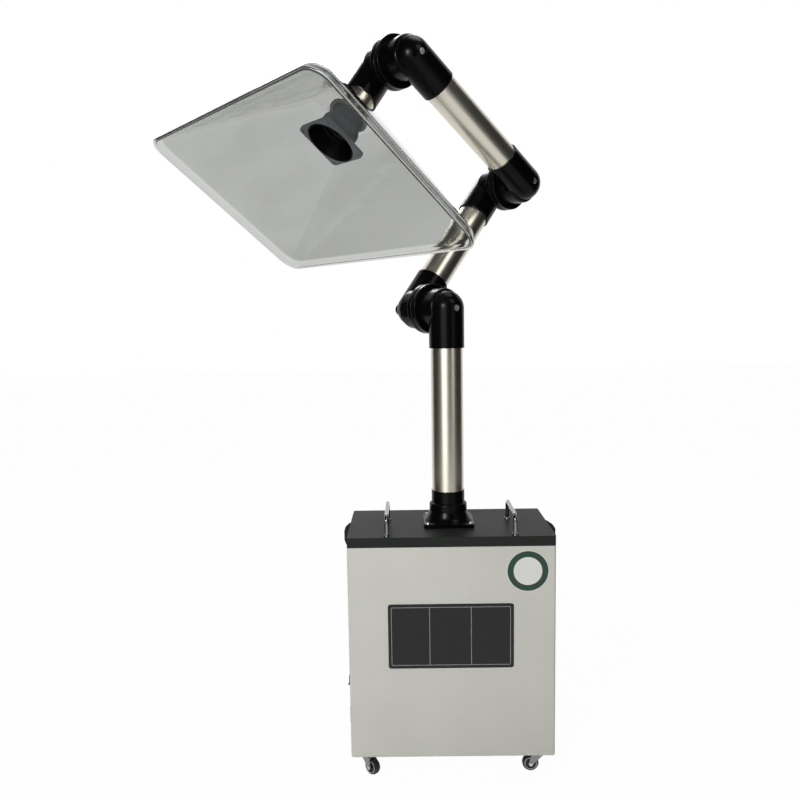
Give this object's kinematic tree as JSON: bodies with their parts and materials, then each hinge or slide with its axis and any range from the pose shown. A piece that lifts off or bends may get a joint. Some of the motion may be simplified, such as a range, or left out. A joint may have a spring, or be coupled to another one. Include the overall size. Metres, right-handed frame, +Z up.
{
  "type": "smoke purifier",
  "caption": "Wheeled filter cabinet with a jointed aluminium duct arm on its lid that carries a clear rectangular fume hood.",
  "frame": {"origin": "on the floor under the middle of the cabinet", "axes": "+X to the right seen from the front, +Y to the back, +Z up"},
  "size_m": [0.935, 0.807, 1.6896],
  "materials": {
    "shell_paint": "satin warm white powder coat",
    "lid_paint": "satin dark grey powder coat",
    "foam_seal": "matt foam",
    "chrome": "bright plated",
    "black_moulding": "glossy moulded",
    "switch_black": "fine grain",
    "rocker_black": "smooth",
    "blower_metal": "zinc plated",
    "fan_plastic": "moulded",
    "carbon_media": "granular",
    "filter_media": "pleated fibre",
    "zinc_steel": "zinc plated",
    "caster_rubber": "smooth tread",
    "tube_aluminium": "satin anodised",
    "washer_fibre": "friction fibre",
    "clear_sheet": "clear formed sheet",
    "soft_rubber": "soft",
    "grey_moulding": "moulded"
  },
  "bodies": {
    "cabinet": {"cabinet_shell": "shell_paint", "lid": "lid_paint", "lid_seal": "foam_seal", "handle_left": "chrome", "handle_right": "chrome", "side_grip_left": "black_moulding", "side_grip_right": "black_moulding", "switch_case": "switch_black", "power_inlet": "switch_black", "blower_case": "blower_metal", "blower_motor": "blower_metal", "filter_deck": "blower_metal", "carbon_filter": "carbon_media", "main_filter": "filter_media", "pre_filter": "filter_media", "caster_plate_front_left": "zinc_steel", "caster_plate_front_right": "zinc_steel", "caster_plate_rear_left": "zinc_steel", "caster_plate_rear_right": "zinc_steel", "base_adapter": "black_moulding", "base_screws": "zinc_steel"},
    "rocker": {"switch_rocker": "rocker_black"},
    "fan": {"blower_wheel": "fan_plastic"},
    "fork_front_left": {"caster_fork_front_left": "zinc_steel", "caster_axle_front_left": "zinc_steel"},
    "wheel_front_left": {"caster_wheel_front_left": "caster_rubber"},
    "fork_front_right": {"caster_fork_front_right": "zinc_steel", "caster_axle_front_right": "zinc_steel"},
    "wheel_front_right": {"caster_wheel_front_right": "caster_rubber"},
    "fork_rear_left": {"caster_fork_rear_left": "zinc_steel", "caster_axle_rear_left": "zinc_steel"},
    "wheel_rear_left": {"caster_wheel_rear_left": "caster_rubber"},
    "fork_rear_right": {"caster_fork_rear_right": "zinc_steel", "caster_axle_rear_right": "zinc_steel"},
    "wheel_rear_right": {"caster_wheel_rear_right": "caster_rubber"},
    "mast": {"tube_mast": "tube_aluminium", "elbow_a_lower": "black_moulding", "hinge_washer_a": "washer_fibre", "hinge_bolt_a": "zinc_steel"},
    "link_two": {"elbow_a_upper": "black_moulding", "tube_two": "tube_aluminium", "elbow_b_lower": "black_moulding"},
    "link_three": {"elbow_b_upper": "black_moulding", "hinge_washer_b": "washer_fibre", "hinge_bolt_b": "zinc_steel", "tube_three": "tube_aluminium", "elbow_c_lower": "black_moulding", "hinge_washer_c": "washer_fibre", "hinge_bolt_c": "zinc_steel"},
    "head": {"elbow_c_upper": "black_moulding", "tube_head": "tube_aluminium"},
    "hood": {"hood": "clear_sheet", "hood_grommet": "soft_rubber", "hood_nozzle": "grey_moulding"},
    "knob_a": {"hinge_knob_a": "black_moulding"},
    "knob_b": {"hinge_knob_b": "black_moulding"},
    "knob_c": {"hinge_knob_c": "black_moulding"}
  },
  "joints": [
    {"name": "switch_rock", "type": "hinge", "parent": "cabinet", "child": "rocker", "pos_m": [-0.232, -0.082, 0.218], "axis": [0, -1, 0], "range_deg": [0, 12]},
    {"name": "fan_spin", "type": "hinge", "parent": "cabinet", "child": "fan", "pos_m": [0, 0, 0.14], "axis": [0, 0, 1], "continuous": true},
    {"name": "caster_swivel_front_left", "type": "hinge", "parent": "cabinet", "child": "fork_front_left", "pos_m": [-0.198, -0.098, 0.046], "axis": [0, 0, 1], "continuous": true},
    {"name": "caster_roll_front_left", "type": "hinge", "parent": "fork_front_left", "child": "wheel_front_left", "pos_m": [-0.18739, -0.10861, 0.019], "axis": [-0.7071, -0.7071, 0], "continuous": true},
    {"name": "caster_swivel_front_right", "type": "hinge", "parent": "cabinet", "child": "fork_front_right", "pos_m": [0.198, -0.098, 0.046], "axis": [0, 0, 1], "continuous": true},
    {"name": "caster_roll_front_right", "type": "hinge", "parent": "fork_front_right", "child": "wheel_front_right", "pos_m": [0.183, -0.098, 0.019], "axis": [0, 1, 0], "continuous": true},
    {"name": "caster_swivel_rear_left", "type": "hinge", "parent": "cabinet", "child": "fork_rear_left", "pos_m": [-0.198, 0.098, 0.046], "axis": [0, 0, 1], "continuous": true},
    {"name": "caster_roll_rear_left", "type": "hinge", "parent": "fork_rear_left", "child": "wheel_rear_left", "pos_m": [-0.18391, 0.09287, 0.019], "axis": [-0.342, -0.9397, 0], "continuous": true},
    {"name": "caster_swivel_rear_right", "type": "hinge", "parent": "cabinet", "child": "fork_rear_right", "pos_m": [0.198, 0.098, 0.046], "axis": [0, 0, 1], "continuous": true},
    {"name": "caster_roll_rear_right", "type": "hinge", "parent": "fork_rear_right", "child": "wheel_rear_right", "pos_m": [0.18441, 0.09166, 0.019], "axis": [-0.4226, 0.9063, 0], "continuous": true},
    {"name": "mast_turn", "type": "hinge", "parent": "cabinet", "child": "mast", "pos_m": [0, 0, 0.632], "axis": [0, 0, 1], "continuous": true},
    {"name": "shoulder_hinge", "type": "hinge", "parent": "mast", "child": "link_two", "pos_m": [-0.03694, 0.04728, 1.082], "axis": [-0.6157, 0.788, 0], "range_deg": [-60, 50]},
    {"name": "elbow_hinge", "type": "hinge", "parent": "link_two", "child": "link_three", "pos_m": [0.16483, 0.20492, 1.38931], "axis": [-0.6157, 0.788, 0], "range_deg": [-4, 90]},
    {"name": "wrist_hinge", "type": "hinge", "parent": "link_three", "child": "head", "pos_m": [-0.11085, -0.01046, 1.63065], "axis": [-0.6157, 0.788, 0], "range_deg": [-4, 85]},
    {"name": "hood_turn", "type": "hinge", "parent": "head", "child": "hood", "pos_m": [-0.21958, -0.01927, 1.51148], "axis": [-0.4786, -0.3739, -0.7944], "range_deg": [-25, 25]},
    {"name": "knob_turn_a", "type": "hinge", "parent": "mast", "child": "knob_a", "pos_m": [-0.10466, 0.13396, 1.082], "axis": [-0.6157, 0.788, 0], "continuous": true},
    {"name": "knob_turn_b", "type": "hinge", "parent": "link_three", "child": "knob_b", "pos_m": [0.0971, 0.2916, 1.38931], "axis": [-0.6157, 0.788, 0], "continuous": true},
    {"name": "knob_turn_c", "type": "hinge", "parent": "link_three", "child": "knob_c", "pos_m": [-0.17857, 0.07622, 1.63065], "axis": [-0.6157, 0.788, 0], "continuous": true}
  ]
}
